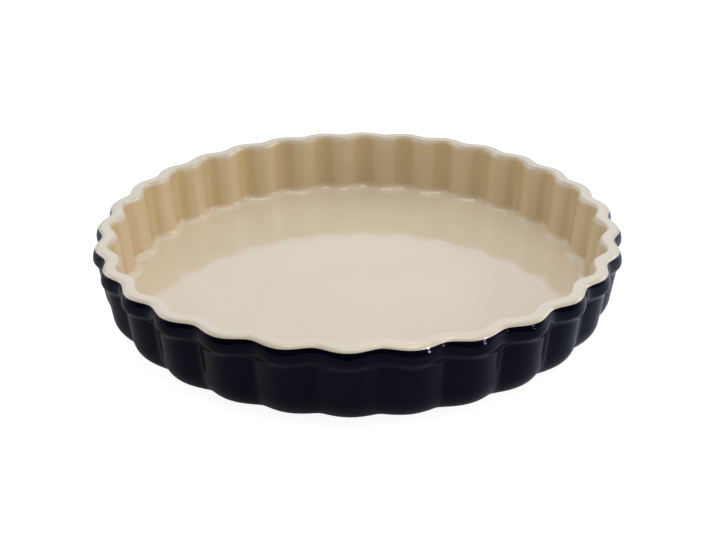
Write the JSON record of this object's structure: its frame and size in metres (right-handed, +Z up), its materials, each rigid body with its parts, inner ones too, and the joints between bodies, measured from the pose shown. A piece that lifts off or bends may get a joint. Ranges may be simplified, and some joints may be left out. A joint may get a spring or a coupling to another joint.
{
  "type": "tart dish",
  "caption": "Round, shallow stoneware baking dish with fluted walls, a scalloped collar under the rim, cream glaze inside and dark glaze outside, standing on a bare clay foot ring.",
  "frame": {"origin": "on the table plane, under the middle of the dish", "axes": "+Z up along the axis of the dish, -Y out to the front through the middle of a flute, +X to the right"},
  "size_m": [0.2784, 0.28, 0.0435],
  "materials": {
    "stoneware": "fired clay, unglazed, matt",
    "cream_glaze": "cream glaze, glossy",
    "dark_glaze": "near-black blue glaze, glossy"
  },
  "bodies": {
    "root": {"stoneware_body": "stoneware", "interior_glaze": "cream_glaze", "exterior_glaze": "dark_glaze", "underside_glaze": "dark_glaze"}
  },
  "joints": []
}
